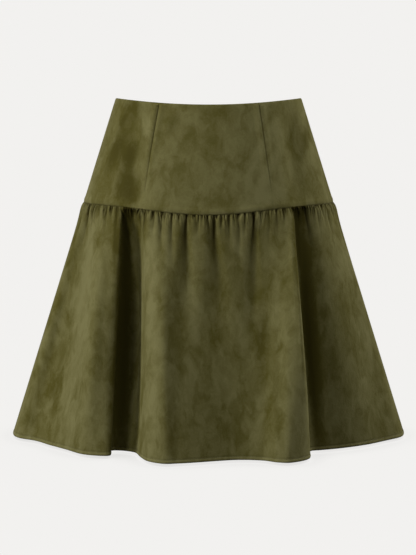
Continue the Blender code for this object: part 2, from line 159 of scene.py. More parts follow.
# A fold line runs straight from its turn on the hip seam to its turn on the hem. Its reach is its
# depth at the hem, as a share of the plain oval's; it gets half of that by its settle drop, and its
# belly is what it gains or loses half way down.
Fold = namedtuple("Fold", "seam_turn hem_turn reach settle belly")
FRONT_FOLDS = tuple(Fold(*row) for row in (
    # the left side, up to its crest
    (0, 0, 1, 1, 0), (17.4, 28.9, 0.677, 0.3, -0.232), (23.7, 38.7, 0.787, 0.3, -0.258),
    (28.2, 45.7, 0.879, 0.4, -0.067), (33.7, 52.6, 0.993, 1, 0.048), (41, 57.5, 0.992, 1, -0.012),
    # the left lip, the return under it, the floor behind and the wall beyond
    (47.5, 61.7, 0.953, 1, -0.078), (48, 62.1, 0.764, 0.06, -0.072),
    (51.1, 64.9, 0.743, 0.05, -0.106), (57.4, 68.7, 0.775, 0.05, -0.176),
    (60, 71.2, 0.943, 0.2, -0.108),
    # the centre, from crest to crest
    (61.9, 73.6, 1.063, 1, -0.014), (67.7, 78, 1.119, 0.6, 0.021), (78.3, 82.3, 1.09, 2, -0.023),
    (95.9, 97.4, 0.982, 2, -0.048), (114.2, 104.6, 1.023, 2, -0.049),
    (121.1, 109, 1.111, 1, -0.032), (126.9, 112.4, 1.149, 0.6, 0.028),
    # the right lip, its return and its floor
    (129, 116.5, 1.117, 0.25, 0.091), (130.2, 118.7, 1.052, 0.6, 0.168),
    (130.8, 119.9, 0.788, 0.04, -0.074), (137, 123, 0.786, 0.03, -0.003),
    # the right side
    (147, 131.4, 0.781, 0.25, 0.063), (157.3, 140.8, 0.762, 1, 0.061),
    (169.7, 155.8, 0.727, 2, -0.004),
))
BACK_FOLDS = tuple(Fold(*row) for row in (
    # the right side, up to its crest
    (180, 180, 1, 1, 0), (196, 209.6, 0.749, 3, 0), (213, 221.8, 1.045, 1, 0),
    # the right lip, its return and its hollow
    (222, 233.6, 0.977, 0.7, 0), (224, 238.8, 0.803, 0.12, 0), (229, 245.2, 0.77, 0.12, 0),
    (237, 249.2, 0.943, 0.6, 0),
    # the centre back, from crest to crest
    (246, 255.7, 1.106, 1, 0), (264, 269, 0.99, 3, 0), (281, 281.9, 1.089, 1, 0),
    (291, 289.2, 1.011, 1, 0),
    # the left lip, its return and its hollow
    (299, 294.4, 0.952, 0.7, 0), (302, 295.2, 0.816, 0.12, 0), (309, 300, 0.765, 0.12, 0),
    (318, 314, 0.901, 0.6, 0),
    # the left side
    (328, 328.3, 1.053, 1, 0), (344, 337.3, 0.732, 3, 0),
))

# Creases that run down from the gathers: where each starts on the hip seam as a turn, how far it
# runs, how deep and how wide it is in millimetres, and how much wider it gets and how far it drifts
# in hundredths of the way down.
Crease = namedtuple("Crease", "turn length depth width spread drift")
CREASE_UNITS = {"length": 1000, "depth": 1000, "width": 1000, "spread": 100, "drift": 100}
FRONT_CREASES = in_units(Crease, CREASE_UNITS, (
    (7, 30, 2.4, 1.5, 3, -10), (13, 50, 3.4, 2, 5, -12), (19.8, 95, 5, 3.4, 7, -4),
    (25, 20, 2, 1.4, 3, 5), (32.5, 24, 2.2, 1.5, 3, 5), (37.5, 34, 3, 1.7, 4, 2),
    (41.5, 18, 2.2, 1.4, 3, 0), (45, 26, 3, 1.5, 3, 5), (51.8, 20, 2.8, 1.3, 3, 8),
    (54.6, 26, 3, 1.4, 3, 6), (58.2, 20, 2.6, 1.3, 3, -4), (62, 24, 2.8, 1.4, 3, -8),
    (65.4, 32, 3, 1.5, 4, -10), (69.2, 52, 4, 1.7, 5, -10), (73.8, 54, 4.2, 1.7, 5, 0),
    (77, 18, 2.4, 1.3, 3, 0), (80.3, 150, 8.5, 1.6, 8.5, -2.5), (84.2, 22, 2.8, 1.4, 3, 5),
    (87, 17, 2.2, 1.3, 3, 0), (89.6, 46, 3.6, 1.6, 5, 0), (92.4, 150, 7.5, 1.6, 8, -1),
    (95.3, 20, 2.6, 1.4, 3, 4), (98.6, 34, 3, 1.5, 4, 3), (102.8, 44, 3.6, 1.6, 5, 0),
    (106.2, 28, 3.2, 1.5, 4, 0), (110.1, 130, 7.5, 1.6, 7, -1), (113.6, 22, 2.6, 1.4, 3, 3),
    (117.2, 30, 3, 1.5, 3, 4), (121.3, 30, 3, 1.6, 3, 5), (125.4, 20, 2.4, 1.4, 3, 6),
    (133.2, 24, 2.8, 1.4, 3, 8), (137.6, 50, 4, 1.8, 5, 12), (141.6, 18, 2.4, 1.4, 3, 8),
    (146.4, 28, 2.8, 1.6, 3, 10), (151.5, 20, 2.4, 1.4, 3, 10), (156.4, 36, 3, 1.7, 4, 15),
    (162, 20, 2.2, 1.4, 3, 15), (168.5, 28, 2.6, 1.6, 3, 15), (172.8, 75, 3, 1.2, 2, 10),
))
BACK_CREASES = in_units(Crease, CREASE_UNITS, (
    (190, 45, 3, 1.8, 5, -10), (199, 24, 2.2, 1.5, 3, 0), (207, 90, 5.5, 1.8, 7, -5),
    (216, 30, 2.4, 1.6, 3, 4), (226, 26, 2.6, 1.5, 3, 0), (233, 30, 2.8, 1.6, 3, 6),
    (241, 40, 3, 1.7, 4, 5), (249, 28, 2.6, 1.5, 3, -5), (254.5, 160, 8, 1.6, 8.5, -3),
    (259.5, 30, 2.6, 1.5, 3, 0), (265, 90, 5.5, 1.8, 6, 4), (271.5, 24, 2.4, 1.4, 3, -5),
    (276, 140, 7.2, 1.7, 8, 2), (284, 30, 2.6, 1.5, 3, 5), (288.5, 150, 7.8, 1.6, 8, 3),
    (296, 26, 2.4, 1.5, 3, 2), (305, 30, 2.8, 1.6, 3, 0), (313, 26, 2.6, 1.5, 3, 5),
    (322, 100, 6, 1.8, 7, 6), (331, 26, 2.4, 1.6, 3, 4), (338, 45, 3, 1.7, 4, 8),
    (350, 32, 2.4, 1.6, 3, 12),
))

# Soft hollows that the folds below pull into the yoke: a turn at the waist and at the seam, how
# deep and how wide.
Hollow = namedtuple("Hollow", "waist_turn seam_turn depth width")
FRONT_HOLLOWS = (Hollow(37.0, 57.0, 0.0090, 0.021), Hollow(146.0, 133.0, 0.0060, 0.018))
BACK_HOLLOWS = (Hollow(222.0, 226.0, 0.0035, 0.022), Hollow(316.0, 308.0, 0.0035, 0.022))

# Places where the nap is made paler or darker, partly mottled nap and partly painted light and
# painted shade: the turn of their middle and its drop in hundredths, their half width and half
# height in millimetres, and how much paler (or, below nought, darker) it is there, in hundredths.
Brush = namedtuple("Brush", "turn drop half_width half_height shade")
NAP_AND_LIGHT_UNITS = {"drop": 100, "half_width": 1000, "half_height": 1000, "shade": 100}
# Most of these stand for light: painted shade over the left of the yoke and its right edge, painted
# light over its centre right.
FRONT_YOKE_NAP_AND_LIGHT = in_units(Brush, NAP_AND_LIGHT_UNITS, (
    (18, 20, 14, 26, -5), (31, 21, 7, 14, -50), (32, 50, 12, 30, -45), (32, 55, 20, 35, -35),
    (34, 4, 30, 12, -40), (36, 30, 20, 40, -30), (36, 76, 40, 40, -20), (38, 30, 40, 45, -20),
    (40, 12, 30, 16, -25), (43, 55, 14, 35, -30), (45, 76, 13, 30, -60), (45.5, 48, 12, 20, -62),
    (48, 80, 14, 22, -35), (50, 24, 12, 20, 15), (52, 92, 22, 18, -40), (53, 82, 14, 30, -60),
    (56, 22, 14, 20, 60), (60, 70, 10, 30, 5), (64.5, 46, 10, 20, 20), (69.5, 16, 12, 22, -35),
    (70, 25, 12, 35, -35), (70, 78, 20, 28, 5), (79.7, 29, 12, 10, -30), (88, 55, 16, 35, -35),
    (92, 62, 20, 20, -10), (98, 10, 22, 14, -35), (100, 50, 50, 80, 5), (108, 92, 20, 14, 45),
    (112, 62, 10, 30, 20), (116, 45, 7, 34, 35), (116, 86, 35, 18, 35), (117, 50, 12, 40, 45),
    (117.5, 22, 10, 20, 40), (118.5, 66, 9, 28, 60), (120, 85, 12, 18, 50), (122, 62, 11, 45, 80),
    (125, 30, 10, 30, 20), (128, 40, 20, 60, 18), (132, 72, 18, 34, 20), (134, 82, 8, 24, -45),
    (138.5, 42, 9, 22, -15), (144, 22, 16, 45, -45), (146, 48, 14, 40, -55),
    (150, 26, 12, 30, -45), (160, 35, 14, 40, -60),
))
# Besides mottled nap, these carry painted light on the left flank and along the right lip, and
# painted shade in the recesses behind both lips.
FRONT_TIER_NAP_AND_LIGHT = in_units(Brush, NAP_AND_LIGHT_UNITS, (
    (9, 16, 12, 60, -45), (14, 40, 14, 90, -25), (14, 94, 12, 18, -60), (17, 80, 12, 30, -35),
    (23, 74, 8, 80, -50), (27, 18, 10, 55, 55), (28.2, 54, 9, 150, 90), (30, 5, 10, 20, -50),
    (30, 50, 14, 90, 15), (40.5, 56, 12, 140, 15), (42, 14, 10, 50, -35), (45.3, 12, 5, 50, -90),
    # painted shade deep in the left recess, behind its lip
    (50.6, 52, 10.5, 190, -160), (51.5, 2, 9, 16, -140), (57, 6, 6, 30, -60), (60, 10, 6, 22, -50),
    (63, 46, 11, 150, 50), (63.5, 82, 10, 50, 50), (65.5, 24, 12, 60, 60), (72, 30, 12, 40, 25),
    (72, 97, 16, 10, 50), (72.5, 32, 12, 50, 25), (77, 40, 7, 50, -35), (83.5, 42, 4, 50, 30),
    (88, 20, 10, 40, 20), (92, 42, 12, 55, -45), (92.5, 15, 6, 30, -35), (96, 80, 20, 40, -10),
    (98.5, 20, 7, 50, 50), (104, 18, 12, 40, 20), (108.5, 34, 6, 50, -40),
    (113.5, 44, 14, 45, -45), (115, 62, 18, 90, -45), (118, 16, 12, 34, 20),
    (120.7, 34, 5, 35, 45), (121, 74, 8, 40, -35), (126, 92, 8, 40, 40), (128.5, 45, 6, 80, -10),
    # painted highlight along the right lip, then painted shade deep in the right recess behind it
    (128.5, 80, 7, 120, 55), (129.3, 62, 4, 180, 35), (131.6, 6, 6, 75, -130),
    (136, 46, 13, 230, -155), (158, 45, 20, 60, -15), (166, 75, 12, 40, 20),
))
BACK_YOKE_BRUSHES = in_units(Brush, NAP_AND_LIGHT_UNITS, (
    (205, 40, 14, 30, -30), (226, 62, 14, 34, -40), (248, 34, 18, 22, 20), (284, 70, 20, 22, -20),
    (306, 40, 14, 34, 25), (330, 62, 16, 30, -25),
))
BACK_TIER_BRUSHES = in_units(Brush, NAP_AND_LIGHT_UNITS, (
    (214, 40, 14, 80, 30), (247, 55, 14, 90, 25), (265, 30, 16, 50, -20), (283, 65, 14, 90, 25),
    (328, 50, 14, 80, 25), (343, 60, 16, 70, -25),
))

Tier = namedtuple("Tier", "node first last creases brushes seed_shift")
BACK_START = float(len(FRONT_FOLDS))
BACK_END = BACK_START + len(BACK_FOLDS)
TIERS = (
    Tier("tier_front", 0.0, BACK_START, FRONT_CREASES, FRONT_TIER_NAP_AND_LIGHT, 0),
    Tier("tier_back", BACK_START, BACK_END, BACK_CREASES, BACK_TIER_BRUSHES, 1),
)

Dart = namedtuple("Dart", "turn tip_turn top_drop tip_drop")
FRONT_DARTS = (Dart(59.1, 58.4, 0.035, 0.84), Dart(121.6, 120.3, 0.035, 0.84))
BACK_DARTS = (Dart(239.0, 238.0, 0.03, 0.80), Dart(301.0, 302.0, 0.03, 0.80))

Yoke = namedtuple("Yoke", "node first last darts hollows brushes columns cut area")
BACK_CUT, BACK_AREA = (0.27, 0.175), 0.037
YOKES = (
    Yoke("yoke_front", 0.0, 180.0, FRONT_DARTS, FRONT_HOLLOWS, FRONT_YOKE_NAP_AND_LIGHT,
         FRONT_YOKE_COLUMNS, (0.52, 0.175), 0.072),
    Yoke("yoke_back_right", 180.0, CENTRE_BACK, BACK_DARTS[:1], BACK_HOLLOWS[:1],
         BACK_YOKE_BRUSHES, BACK_YOKE_COLUMNS, BACK_CUT, BACK_AREA),
    Yoke("yoke_back_left", CENTRE_BACK, 360.0, BACK_DARTS[1:], BACK_HOLLOWS[1:],
         BACK_YOKE_BRUSHES, BACK_YOKE_COLUMNS, BACK_CUT, BACK_AREA),
)

# Softboxes: place, width and height, and power in watts; a grid narrows the spread, in degrees.
Softbox = namedtuple("Softbox", "name place size power target spread",
                     defaults=((0.0, 0.0, -0.27), 180.0))
SOFTBOXES = (
    Softbox("left_softbox", (-2.75, -0.75, 1.1), (0.9, 1.5), 78.0),
    Softbox("left_front_softbox", (-2.6, -2.8, 0.9), (0.8, 1.3), 40.0),
    Softbox("right_softbox", (2.2, -0.3, 0.85), (0.7, 1.2), 10.0),
    Softbox("right_front_softbox", (2.4, -2.6, 0.9), (0.8, 1.3), 5.0),
    Softbox("front_fill", (0.6, -3.3, 0.5), (2.0, 2.0), 5.0),
    Softbox("overhead_softbox", (0.35, -0.62, 1.25), (0.9, 0.5), 8.0, (0.0, -0.1, -0.10)),
    Softbox("yoke_gridded_softbox", (0.9, -2.4, 0.3), (0.4, 0.4), 0.03, (0.02, -0.1, -0.05), 16.0),
    Softbox("back_left_softbox", (-1.4, 2.6, 0.85), (0.7, 1.2), 28.0),
    Softbox("back_right_softbox", (2.7, 1.2, 1.0), (0.8, 1.3), 60.0),
)
CAMERA_PLACE = (-0.0008, -2.45, 0.0)
CAMERA_LENS, CAMERA_TILT = 105.5, 83.7    # millimetres, and degrees up from straight down


# ---------------------------------------------------------------- user settings
def hex_colour(code):
    """Linear red, green and blue of an sRGB hex colour."""
    channels = [int(code[place:place + 2], 16) / 255.0 for place in (1, 3, 5)]
    return tuple(c / 12.92 if c <= 0.04045 else ((c + 0.055) / 1.055) ** 2.4 for c in channels)


def length(name, description, default):
    return FloatProperty(name=name, description=description, default=default, unit="LENGTH")


def colour(name, description, code):
    return FloatVectorProperty(name=name, description=description, subtype="COLOR",
                               default=hex_colour(code))


class SkirtSizes(bpy.types.PropertyGroup):
    cloth_wall: length("Cloth thickness", "Thickness of the faux suede", 0.0012)
    pucker_depth: length("Pucker depth", "Depth of the smallest gathers at the seam", 0.0030)
    pucker_spacing: length("Pucker spacing", "Mean distance between two gathers", 0.0040)
    gather_puff: length("Gather puff", "How far the tier swells out below the seam", 0.0020)
    hem_turn: length("Hem turn", "Depth of the turned hem", 0.0052)
    stitch_pitch: length("Stitch pitch", "From one hem stitch to the next", 0.0032)
    stitch_length: length("Stitch length", "Length of a hem stitch that shows", 0.0025)
    thread_width: length("Thread width", "Thickness of the sewing thread", 0.00040)
    coil_pitch: length("Coil pitch", "From one turn of the zip coil to the next", 0.00080)
    coil_wire: length("Coil wire", "Thickness of the coil's filament", 0.00045)
    seed: IntProperty(name="Gather seed", default=7,
                      description="Picks another set of small gathers")


class SkirtColours(bpy.types.PropertyGroup):
    nap_light: colour("Nap, light", "Suede where the nap lies towards the light", "#726e48")
    nap_dark: colour("Nap, dark", "Suede where the nap lies away from the light", "#4e4920")
    # The colour of painted shade at the bottom of gathers, creases, darts and seams.
    nap_crushed: colour("Nap, crushed", "Suede at the bottom of gathers and seams", "#28230a")
    thread: colour("Thread", "Sewing thread", "#4e4b2c")
    backing: colour("Backing", "Knitted inner side of the suede", "#77734a")
    tape: colour("Zip tape", "Woven zip tape", "#45422a")
    enamel: colour("Zip enamel", "Enamel on the slider and pull", "#5a563a")
    floor: colour("Floor", "Floor and background", "#f2f1ef")


def sizes():
    return bpy.context.scene.skirt_sizes


def colours():
    return bpy.context.scene.skirt_colours


# ---------------------------------------------------------------- the form of the skirt
def blend(first, last, share):
    return first + (last - first) * share


def bell(x):
    return np.exp(-x * x)


def unit(x):
    """Values held between nought and one."""
    return np.clip(x, 0.0, 1.0)


def line_relief(line, distances):
    return line.height * bell((distances - line.place) / line.width)


def between(upper, lower, drop):
    return Ring(*(blend(a, b, drop) for a, b in zip(upper, lower)))


def ring_points(ring, turns, reaches=1.0):
    """Points of a ring, as an array of rows."""
    angles = np.radians(turns)
    in_front = np.sin(angles) > 0.0
    depth = np.where(in_front, ring.front_depth, ring.back_depth)
    middle_z = np.where(in_front, ring.front_z, ring.back_z)
    dip = np.where(in_front, ring.front_dip, ring.back_dip)
    height = blend(ring.side_z, middle_z, np.abs(np.sin(angles)) ** dip)
    across = -np.cos(angles) * ring.half_width
    return np.stack([across, -np.sin(angles) * depth * reaches, height], axis=-1)


def fold_places(drop):
    """Turn in radians and reach of every fold line at a drop."""
    below = max(0.0, drop - STRAIGHT_DROP) / (1.0 - STRAIGHT_DROP)
    half_width = between(SEAM, HEM, drop).half_width
    places = []
    for fold in FRONT_FOLDS + BACK_FOLDS:
        across = blend(math.cos(math.radians(fold.seam_turn)) * SEAM.half_width,
                       math.cos(math.radians(fold.hem_turn)) * HEM.half_width, drop) / half_width
        turn = math.acos(across) if fold.seam_turn < 180.0 else 2.0 * math.pi - math.acos(across)
        depth = below * (1.0 + fold.settle) / (below + fold.settle)
        reach = blend(1.0, fold.reach, depth) + fold.belly * math.sin(math.pi * drop)
        places.append((turn, reach))
    return np.array(places)


def smooth_loop(places, stations):
    """Places on a smooth closed line through the fold lines, at stations counted in folds."""
    full_turn = np.array((2.0 * math.pi, 0.0))
    line = np.vstack([places[-1:] - full_turn, places, places[:2] + full_turn])
    steps = np.diff(line, axis=0)
    spans = np.sqrt(np.maximum(np.linalg.norm(steps, axis=1), 1e-6))[:, None]
    rates = steps / spans
    weights = spans[:-1] / (spans[:-1] + spans[1:])
    slopes = rates[:-1] * (1.0 - weights) + rates[1:] * weights
    index = np.minimum(stations.astype(int), len(places) - 1)
    t = (stations - index)[:, None]
    rise = t * t * (3.0 - 2.0 * t)
    pull_out = t * (1.0 - t) ** 2 * spans[index + 1]
    pull_in = -t * t * (1.0 - t) * spans[index + 1]
    middle = line[index + 1] * (1.0 - rise) + line[index + 2] * rise
    return middle + slopes[index] * pull_out + slopes[index + 1] * pull_in


def tier_line(drop, stations):
    places = smooth_loop(fold_places(drop), stations)
    return ring_points(between(SEAM, HEM, drop), np.degrees(places[:, 0]), places[:, 1])


def lengths_along(points):
    return np.concatenate([[0.0], np.cumsum(np.linalg.norm(np.diff(points, axis=0), axis=1))])


def lengths_across(grid):
    return np.stack([lengths_along(row) for row in grid])


def lengths_down(grid):
    steps = np.linalg.norm(np.diff(grid, axis=0), axis=2)
    return np.concatenate([np.zeros((1, grid.shape[1])), np.cumsum(steps, axis=0)])


def from_sides(grid):
    """Distance of every point from the nearer side edge of its panel."""
    along = lengths_across(grid)
    return np.minimum(along, along[:, -1:] - along)


def even_stations(first, last, count):
    """Stations between two folds, spaced evenly on the cloth at its seam, middle and hem alike."""
    fine = np.linspace(first, last, 40 * int(last - first) + 1)
    lines = [lengths_along(tier_line(drop, fine)) for drop in (0.0, 0.5, 1.0)]
    travel = sum(line / line[-1] for line in lines) / 3.0
    return np.interp(np.linspace(0.0, 1.0, count), travel, fine)


def surface_normals(grid):
    """Unit normals of a grid of points, out from the wearer."""
    normals = np.cross(np.gradient(grid, axis=0), np.gradient(grid, axis=1))
    return normals / np.linalg.norm(normals, axis=2, keepdims=True)


def raised(grid, heights):
    """A grid moved out from the wearer by a height at every point."""
    return grid + surface_normals(grid) * heights[:, :, None]


# ---------------------------------------------------------------- meshes
def link_object(name, data):
    item = bpy.data.objects.new(name, data)
    bpy.context.scene.collection.objects.link(item)
    return item


def grid_object(name, grid, uv, attributes=None):
    """A quad mesh through a grid of points, with a UV map in metres on the cloth."""
    rows, columns = grid.shape[:2]
    corner = (np.arange(rows - 1)[:, None] * columns + np.arange(columns - 1)[None, :]).ravel()
    quads = np.stack([corner, corner + columns, corner + columns + 1, corner + 1], axis=1)
    mesh = bpy.data.meshes.new(name)
    mesh.from_pydata(grid.reshape(-1, 3), [], quads)
    layer = mesh.uv_layers.new(name="cloth")
    layer.uv.foreach_set("vector", uv.reshape(-1, 2)[quads.ravel()].astype(np.float32).ravel())
    for key, values in (attributes or {}).items():
        data = mesh.attributes.new(key, "FLOAT", "POINT")
        data.data.foreach_set("value", values.astype(np.float32).ravel())
    mesh.shade_smooth()
    return link_object(name, mesh)


def apply_modifiers(item):
    """Turn what the modifiers give into the object's own mesh."""
    depsgraph = bpy.context.evaluated_depsgraph_get()
    mesh = bpy.data.meshes.new_from_object(item.evaluated_get(depsgraph), depsgraph=depsgraph)
    item.modifiers.clear()
    item.data = mesh
    return item


def thicken(item, wall):
    """Give a surface its thickness inwards; the inner side takes the second material."""
    solidify = item.modifiers.new("cloth", "SOLIDIFY")
    solidify.thickness = wall
    solidify.offset = -1.0
    solidify.material_offset = 1
    return apply_modifiers(item)


# ---------------------------------------------------------------- nodes
def feed(tree, socket, value):
    """Give a socket a link, an opaque colour, also by its hex code, or a plain value."""
    if isinstance(value, bpy.types.NodeSocket):
        tree.links.new(value, socket)
    elif socket.type == "RGBA":
        socket.default_value = (*(hex_colour(value) if isinstance(value, str) else value), 1.0)
    else:
        socket.default_value = value


def add_node(tree, kind, inputs=None, **settings):
    """Add a node with its settings, feed its inputs and hand back its outputs."""
    node = tree.nodes.new(kind)
    for name, value in settings.items():
        setattr(node, name, value)
    for socket, value in (inputs or {}).items():
        feed(tree, node.inputs[socket], value)
    return node.outputs


def calc(tree, operation, *values, clamp=False):
    """One sum on numbers or sockets."""
    return add_node(tree, "ShaderNodeMath", dict(enumerate(values)), operation=operation,
                    use_clamp=clamp)[0]


def plus(tree, base, value, share, clamp=False):
    """Base with a share of a value added."""
    return calc(tree, "MULTIPLY_ADD", value, share, base, clamp=clamp)


def move(tree, operation, *vectors):
    return add_node(tree, "ShaderNodeVectorMath", dict(enumerate(vectors)), operation=operation)[0]


def stretch(tree, place, scale):
    return add_node(tree, "ShaderNodeMapping", {"Vector": place, "Scale": scale})[0]


def noise(tree, place, scale, detail, roughness=0.5):
    return add_node(tree, "ShaderNodeTexNoise", {
        "Vector": place, "Scale": scale, "Detail": detail, "Roughness": roughness})


def wave(tree, place, direction, scale, distortion, detail=2.0, detail_scale=1.0):
    return add_node(tree, "ShaderNodeTexWave", {
        "Vector": place, "Scale": scale, "Distortion": distortion, "Detail": detail,
        "Detail Scale": detail_scale}, bands_direction=direction)["Fac"]


def to_range(tree, value, low=0.0, high=1.0, least=0.0, most=1.0, curve="LINEAR"):
    return add_node(tree, "ShaderNodeMapRange", {0: value, 1: low, 2: high, 3: least, 4: most},
                    interpolation_type=curve)[0]


def smooth_step(tree, value, low, high):
    return to_range(tree, value, low, high, curve="SMOOTHSTEP")


def mixed(tree, share, first, last):
    return add_node(tree, "ShaderNodeMix", {0: share, 6: first, 7: last}, data_type="RGBA")[2]


def in_space(tree):
    return add_node(tree, "ShaderNodeTexCoord")["Object"]


def on_cloth(tree):
    return add_node(tree, "ShaderNodeUVMap", uv_map="cloth")[0]


def shade_of(tree, name):
    """A shade that the cloth's points carry."""
    return add_node(tree, "ShaderNodeAttribute", attribute_name=name)["Fac"]


# ---------------------------------------------------------------- materials
def new_material(name):
    material = bpy.data.materials.new(name)
    material.use_nodes = True
    return material, material.node_tree


def finish_material(material, inputs, height=None, strength=0.0, distance=0.0):
    """Give the shader its inputs, and its bump from a height and how far that stands in metres."""
    tree = material.node_tree
    if height is not None:
        bump = {"Strength": strength, "Distance": distance, "Height": height}
        inputs = {**inputs, "Normal": add_node(tree, "ShaderNodeBump", bump)[0]}
    for name, value in inputs.items():
        feed(tree, tree.nodes["Principled BSDF"].inputs[name], value)
    return material


def faux_suede():
    """Brushed microfibre: soft, matt and mottled, with painted light and painted shade on its nap.
    """
    material, tree = new_material("faux_suede_brushed")
    place = in_space(tree)
    # The nap is brushed up and down more than across, so every patch is higher than it is wide.
    brushed = stretch(tree, place, (1.0, 1.0, 0.62))
    # Fingers drag the edges of the patches about by a centimetre.
    drag = move(tree, "SUBTRACT", noise(tree, brushed, 34.0, 3.0)["Color"], (0.5, 0.5, 0.5))
    dragged = move(tree, "MULTIPLY_ADD", drag, (0.030, 0.030, 0.030), brushed)
    # Patches of 20 to 40 mm, and strokes of 6 to 12 mm inside them, with fairly clear edges.
    patch = noise(tree, dragged, 30.0, 4.0, 0.55)[0]
    stroke = noise(tree, dragged, 92.0, 3.0, 0.6)[0]
    # Single fibres are far finer than this; the fleck stands for bundles of them.
    fleck = noise(tree, place, 420.0, 2.0)[0]
    # On hanging cloth the nap also lies in streams, 10 to 20 mm wide and a few times as high.
    stream = noise(tree, stretch(tree, dragged, (1.0, 1.0, 0.45)), 50.0, 3.0, 0.55)[0]
    # Marks that the cloth's points carry: mottled nap together with painted light and painted
    # shade.
    nap_and_painted_light = shade_of(tree, "brushed")
    nap = smooth_step(tree, plus(tree, patch, nap_and_painted_light, 0.16), 0.40, 0.60)
    nap = calc(tree, "MULTIPLY_ADD", nap, 0.36, 0.14)
    nap = plus(tree, nap, smooth_step(tree, stroke, 0.38, 0.62), 0.20)
    nap = plus(tree, nap, smooth_step(tree, fleck, 0.30, 0.70), 0.10)
    flow = calc(tree, "SUBTRACT", smooth_step(tree, stream, 0.42, 0.58), 0.5)
    nap = plus(tree, nap, calc(tree, "MULTIPLY", flow, shade_of(tree, "hung")), 0.20)
    nap = plus(tree, nap, nap_and_painted_light, 0.42, clamp=True)
    base = mixed(tree, nap, colours().nap_dark, colours().nap_light)
    # The finest pleats, 3 to 6 mm apart, fan out from the gathering line as bumps and painted
    # shade.
    pleat = noise(tree, stretch(tree, on_cloth(tree), (250.0, 26.0, 1.0)), 1.0, 2.0, 0.6)[0]
    pleated = smooth_step(tree, pleat, 0.52, 0.60)
    pleated = calc(tree, "MULTIPLY", pleated, shade_of(tree, "gathered"))
    # Painted shade darkens the nap at the bottom of every gather, crease, dart and seam and along
    # the pleats.
    painted_shade = plus(tree, shade_of(tree, "painted_shade"), pleated, 0.80, clamp=True)
    height = plus(tree, plus(tree, fleck, stroke, 0.6), pleated, -2.0)
    return finish_material(material, {
        "Base Color": mixed(tree, painted_shade, base, colours().nap_crushed), "Roughness": 0.95,
        "Specular IOR Level": 0.08, "Specular Tint": "#a9a36a", "Sheen Weight": 0.13,
        "Sheen Roughness": 0.45, "Sheen Tint": "#a69d5c"}, height, 0.35, 0.0006)


def suede_backing():
    """The knitted back of the microfibre: fine upright wales, paler and smoother than the nap."""
    material, tree = new_material("suede_backing_knitted")
    place = on_cloth(tree)
    # Wales lie 1 mm apart and courses 1.3 mm; real ones are half that and would not show.
    wales = wave(tree, place, "X", 160.0, 1.5, 1.0, 6.0)
    courses = wave(tree, place, "Y", 120.0, 2.0, 1.0, 6.0)
    knit = calc(tree, "MULTIPLY", wales, courses)
    tone = plus(tree, noise(tree, place, 40.0, 3.0)[0], knit, 0.5, clamp=True)
    return finish_material(material, {
        "Base Color": mixed(tree, tone, "#4a4726", colours().backing), "Roughness": 0.88,
        "Specular IOR Level": 0.15, "Sheen Weight": 0.15, "Sheen Roughness": 0.5},
        knit, 0.5, 0.0004)


def sewing_thread():
    """Spun polyester thread: two plies twisted together, with a slight silky line of light."""
    material, tree = new_material("sewing_thread_polyester")
    # One turn of the twist for each 0.8 mm.
    twist = wave(tree, in_space(tree), "DIAGONAL", 400.0, 1.0)
    return finish_material(material, {
        "Base Color": mixed(tree, twist, "#35321a", colours().thread),
        "Roughness": 0.55, "Specular IOR Level": 0.35}, twist, 0.4, 0.0002)


def zip_tape_weave():
    """Woven polyester tape: a flat herringbone with a dull shine along its ribs."""
    material, tree = new_material("zip_tape_woven")
    parts = add_node(tree, "ShaderNodeSeparateXYZ", {0: on_cloth(tree)})
    # Each rib of the herringbone is 1.6 mm wide, and slants back on its neighbour.
    slant = calc(tree, "ADD", calc(tree, "PINGPONG", parts[0], 0.0016), parts[1])
    # Picks lie 0.7 mm apart, twice their real distance, so that they show.
    pick = calc(tree, "SINE", calc(tree, "MULTIPLY", slant, 2.0 * math.pi / 0.0007))
    tone = to_range(tree, pick, -1.0, 1.0)
    return finish_material(material, {
        "Base Color": mixed(tree, tone, "#2f2d18", colours().tape),
        "Roughness": 0.62, "Specular IOR Level": 0.30}, tone, 0.6, 0.0002)


def coil_nylon():
    """Nylon monofilament: smooth, faintly clouded, with small soft highlights."""
    material, tree = new_material("coil_nylon_drawn")
    cloud = noise(tree, in_space(tree), 900.0, 2.0)[0]
    return finish_material(material, {
        "Base Color": mixed(tree, cloud, "#35331d", "#514e32"),
        "Roughness": to_range(tree, cloud, least=0.28, most=0.42), "IOR": 1.53})


def slider_enamel():
    """Enamelled zinc casting: an even olive coat, a little wavy, worn bare in pinpoints."""
    material, tree = new_material("zinc_enamelled")
    place = in_space(tree)
    chips = noise(tree, place, 1400.0, 3.0)[0]
    bare = smooth_step(tree, chips, 0.70, 0.74)
    # Orange peel of about half a millimetre.
    peel = noise(tree, place, 1900.0, 1.0)[0]
    return finish_material(material, {
        "Base Color": mixed(tree, bare, colours().enamel, "#a9a493"), "Metallic": bare,
        "Roughness": to_range(tree, chips, least=0.26, most=0.40), "Coat Weight": 0.4,
        "Coat Roughness": 0.15}, peel, 0.15, 0.0002)


def shared_material(name, make):
    """A material that several pieces take, made when the first of them asks for it."""
    return bpy.data.materials.get(name) or make()


def stage_material():
    """A plain pale studio surface, with a painted contact shadow only where something almost
    touches it.
    """
    material, tree = new_material("studio_floor")
    tree.nodes.remove(tree.nodes["Principled BSDF"])
    painted_contact_shadow = add_node(tree, "ShaderNodeAmbientOcclusion", {"Distance": 0.05}, samples=8)["AO"]
    shade = to_range(tree, painted_contact_shadow, 0.25, 0.9, 0.80, 1.0)
    glow = add_node(tree, "ShaderNodeEmission", {"Color": colours().floor, "Strength": shade})[0]
    feed(tree, tree.nodes["Material Output"].inputs["Surface"], glow)
    return material


